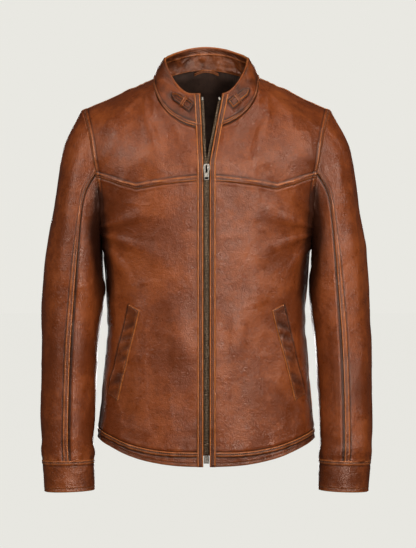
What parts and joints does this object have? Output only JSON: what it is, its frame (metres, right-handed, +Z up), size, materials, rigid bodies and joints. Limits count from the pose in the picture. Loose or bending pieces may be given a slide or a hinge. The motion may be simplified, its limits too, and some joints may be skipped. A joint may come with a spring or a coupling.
{
  "type": "leather riding jacket",
  "caption": "Men's leather riding jacket with a stand collar, front zip, western yoke, slanted welt pockets and plain cuffs, held in its worn shape.",
  "frame": {"origin": "middle of the neck base, level with the shoulder neck points, in the plane of the side seams", "axes": "+Z up along the wearer's spine, -Y the jacket's front, +X the wearer's left"},
  "size_m": [0.5682, 0.2562, 0.7619],
  "materials": {
    "leather": "distressed cognac leather, waxed, burnished at the seams",
    "leather_trim": "same leather in narrow bands, more burnished",
    "leather_inner": "same leather as inner facing, darker",
    "lining": "dark brown woven twill, matt",
    "zip_tape": "herringbone woven tape, dark brown",
    "zip_teeth": "antique bronze, worn bright on the tooth tips",
    "hardware": "antique nickel, softly polished"
  },
  "bodies": {
    "jacket": {"front_panel_left": "leather", "front_panel_right": "leather", "front_yoke_left": "leather", "front_yoke_right": "leather", "back_panel": "leather", "back_yoke": "leather", "hem_band_left": "leather_trim", "hem_band_right": "leather_trim", "hem_band_back": "leather_trim", "placket_left": "leather_trim", "placket_right": "leather_trim", "front_facing_left": "leather_inner", "front_facing_right": "leather_inner", "collar_outer": "leather", "collar_facing": "leather_inner", "collar_tab_left": "leather_trim", "collar_tab_right": "leather_trim", "collar_keeper_left": "leather_trim", "collar_keeper_right": "leather_trim", "hanger_loop": "leather_trim", "pocket_welt_left": "leather_trim", "pocket_welt_right": "leather_trim", "pocket_bag_left": "lining", "pocket_bag_right": "lining", "lining_front_left": "lining", "lining_front_right": "lining", "lining_back": "lining", "zip_tape_left": "zip_tape", "zip_tape_right": "zip_tape", "zip_teeth_left": "zip_teeth", "zip_teeth_right": "zip_teeth", "zip_top_stop_left": "hardware", "zip_top_stop_right": "hardware", "zip_insertion_pin": "hardware", "zip_retainer_box": "hardware"},
    "zip_slider_body": {"zip_slider": "hardware"},
    "zip_pull_body": {"zip_pull": "hardware"},
    "sleeve_left": {"sleeve_top_left": "leather", "sleeve_under_left": "leather", "cuff_left": "leather_trim", "lining_sleeve_left": "lining"},
    "sleeve_right": {"sleeve_top_right": "leather", "sleeve_under_right": "leather", "cuff_right": "leather_trim", "lining_sleeve_right": "lining"}
  },
  "joints": [
    {"name": "zip_slide", "type": "slide", "parent": "jacket", "child": "zip_slider_body", "axis": [0, 0, 1], "range_m": [-0.46, 0]},
    {"name": "zip_pull_swing", "type": "hinge", "parent": "zip_slider_body", "child": "zip_pull_body", "pos_m": [0, -0.1256, -0.1503], "axis": [-1, 0, 0], "range_deg": [0, 160]},
    {"name": "sleeve_left_lift", "type": "hinge", "parent": "jacket", "child": "sleeve_left", "pos_m": [0.2146, 0, -0.056], "axis": [0, -1, 0], "range_deg": [0, 30]},
    {"name": "sleeve_right_lift", "type": "hinge", "parent": "jacket", "child": "sleeve_right", "pos_m": [-0.2146, 0, -0.056], "axis": [0, 1, 0], "range_deg": [0, 30]}
  ]
}
